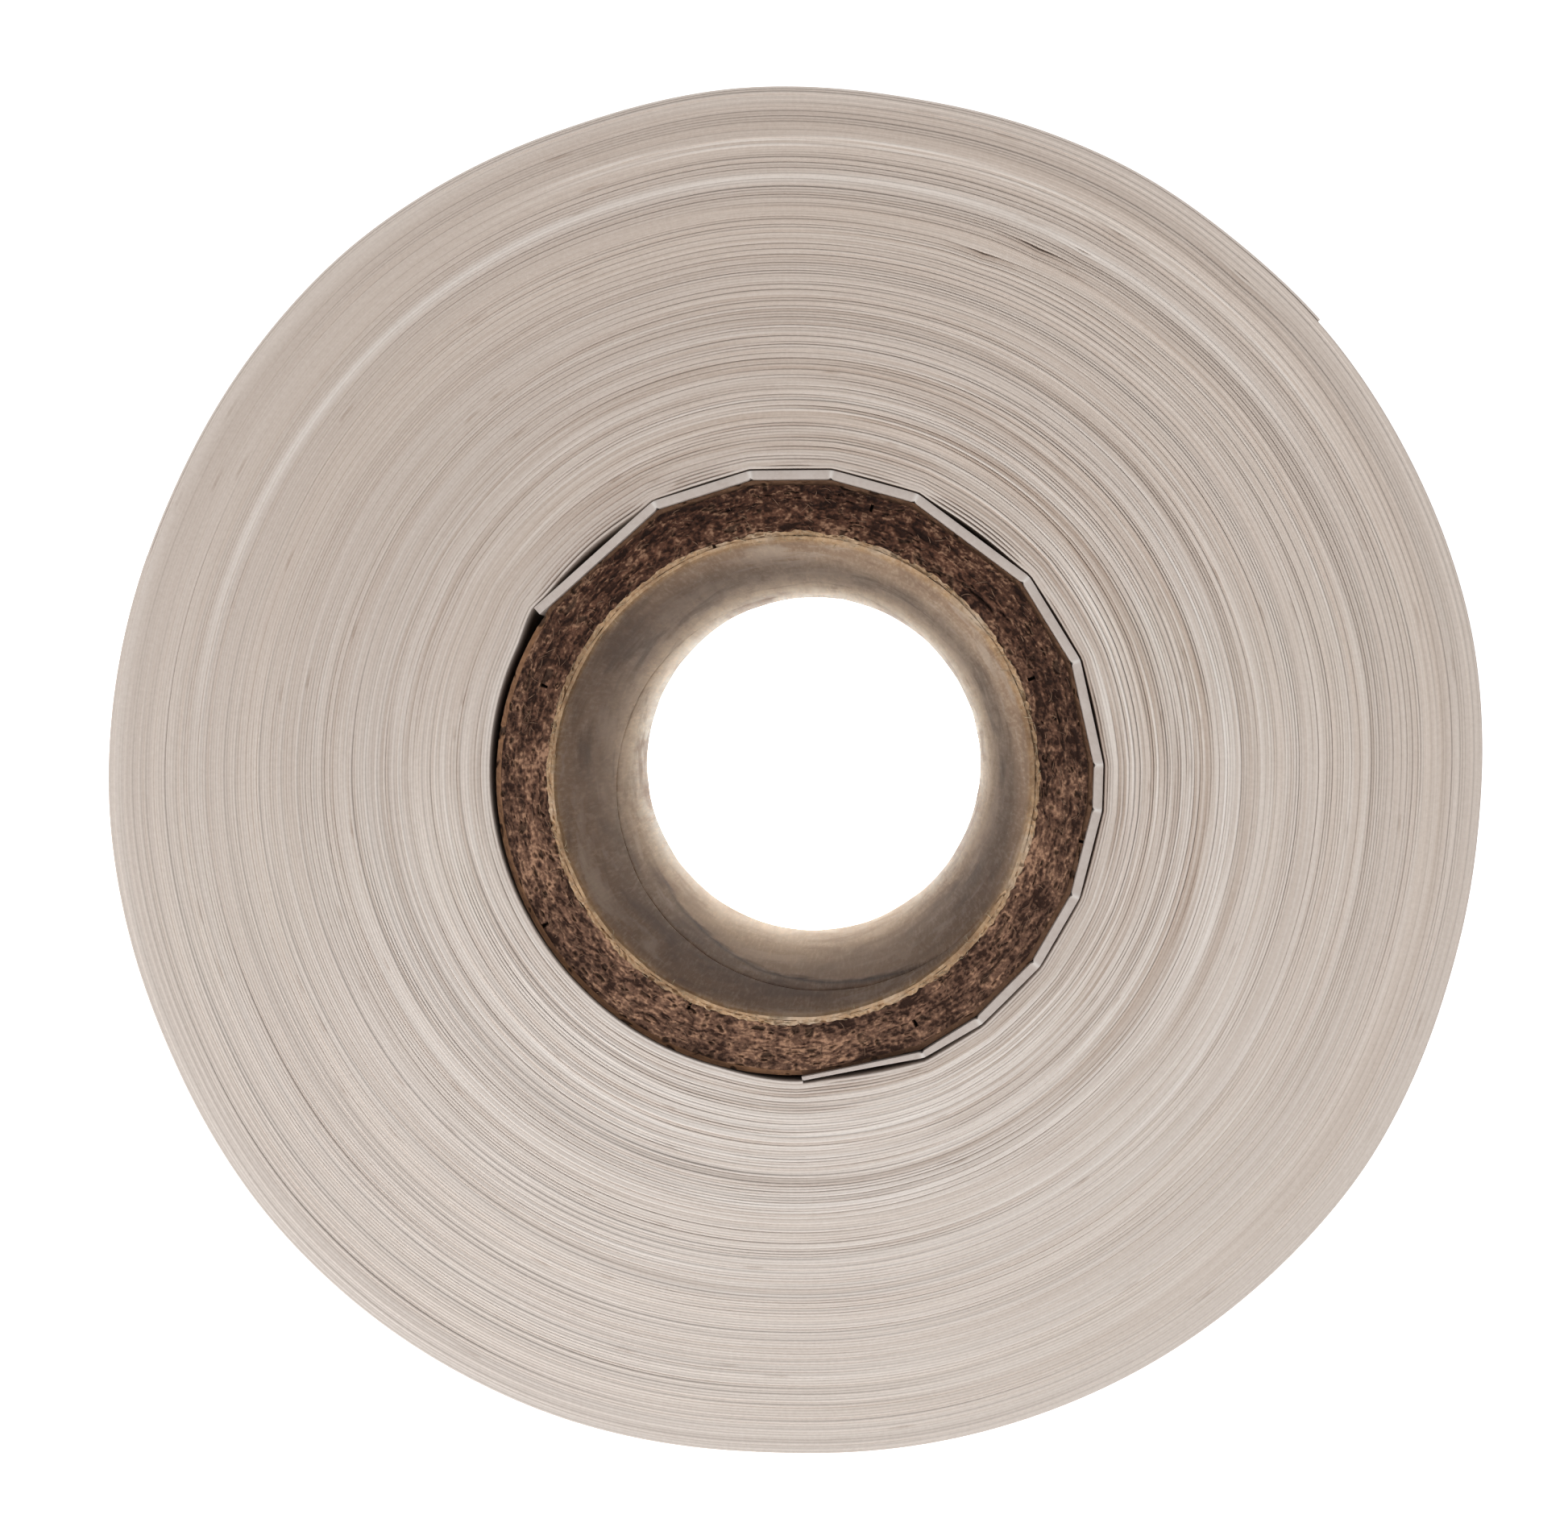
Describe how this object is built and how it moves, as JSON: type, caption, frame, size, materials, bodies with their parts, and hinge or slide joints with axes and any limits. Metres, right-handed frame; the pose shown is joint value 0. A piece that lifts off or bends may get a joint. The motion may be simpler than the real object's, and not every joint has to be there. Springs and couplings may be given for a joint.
{
  "type": "tree guard sleeve roll",
  "caption": "Lay-flat tree guard tube wound on a spiral-wound board core, standing on end, with a creased starter strip and a free tail that peels open.",
  "frame": {"origin": "on the core's axis, at the end the roll stands on", "axes": "+Z along the core's bore, upwards; seen from above with +X to the right and +Y away, the sleeve is wound outwards clockwise and its free end lies at the far right"},
  "size_m": [0.115, 0.1153, 0.1],
  "materials": {
    "liner_paper": "tan kraft paper, dull and slightly fuzzy at the cut ends",
    "core_board": "dark grey-brown recycled board, its cut ends rough and fibrous",
    "outer_kraft": "orange-brown kraft paper, smooth",
    "starter_strip": "stiff white leader, matt",
    "sleeve_film": "off-white flattened film tube, matt, slightly translucent"
  },
  "bodies": {
    "roll": {"core_liner_ply_1": "liner_paper", "core_liner_ply_2": "liner_paper", "core_board_ply_1": "core_board", "core_board_ply_2": "core_board", "core_board_ply_3": "core_board", "core_board_ply_4": "core_board", "core_board_ply_5": "core_board", "core_board_ply_6": "core_board", "core_outer_ply": "outer_kraft", "starter_strip": "starter_strip", "wound_web": "sleeve_film"},
    "tail_1": {"tail_section_1": "sleeve_film"},
    "tail_2": {"tail_section_2": "sleeve_film"},
    "tail_3": {"tail_section_3": "sleeve_film"},
    "tail_4": {"tail_section_4": "sleeve_film"},
    "tail_5": {"tail_section_5": "sleeve_film"},
    "tail_6": {"tail_section_6": "sleeve_film"}
  },
  "joints": [
    {"name": "tail_peel", "type": "hinge", "parent": "roll", "child": "tail_1", "pos_m": [-0.05462, 0.01931, 0.05], "axis": [0, 0, 1], "range_deg": [0, 20]},
    {"name": "tail_bend_2", "type": "hinge", "parent": "tail_1", "child": "tail_2", "pos_m": [-0.04493, 0.03681, 0.05], "axis": [0, 0, 1], "range_deg": [0, 20]},
    {"name": "tail_bend_3", "type": "hinge", "parent": "tail_2", "child": "tail_3", "pos_m": [-0.02983, 0.04995, 0.05], "axis": [0, 0, 1], "range_deg": [0, 20]},
    {"name": "tail_bend_4", "type": "hinge", "parent": "tail_3", "child": "tail_4", "pos_m": [-0.01115, 0.05714, 0.05], "axis": [0, 0, 1], "range_deg": [0, 20]},
    {"name": "tail_bend_5", "type": "hinge", "parent": "tail_4", "child": "tail_5", "pos_m": [0.00887, 0.0575, 0.05], "axis": [0, 0, 1], "range_deg": [0, 20]},
    {"name": "tail_bend_6", "type": "hinge", "parent": "tail_5", "child": "tail_6", "pos_m": [0.02781, 0.05099, 0.05], "axis": [0, 0, 1], "range_deg": [0, 20]}
  ],
  "couplings": [
    {"joint": "tail_bend_2", "follows": "tail_peel", "ratio": 1},
    {"joint": "tail_bend_3", "follows": "tail_peel", "ratio": 1},
    {"joint": "tail_bend_4", "follows": "tail_peel", "ratio": 1},
    {"joint": "tail_bend_5", "follows": "tail_peel", "ratio": 1},
    {"joint": "tail_bend_6", "follows": "tail_peel", "ratio": 1}
  ]
}
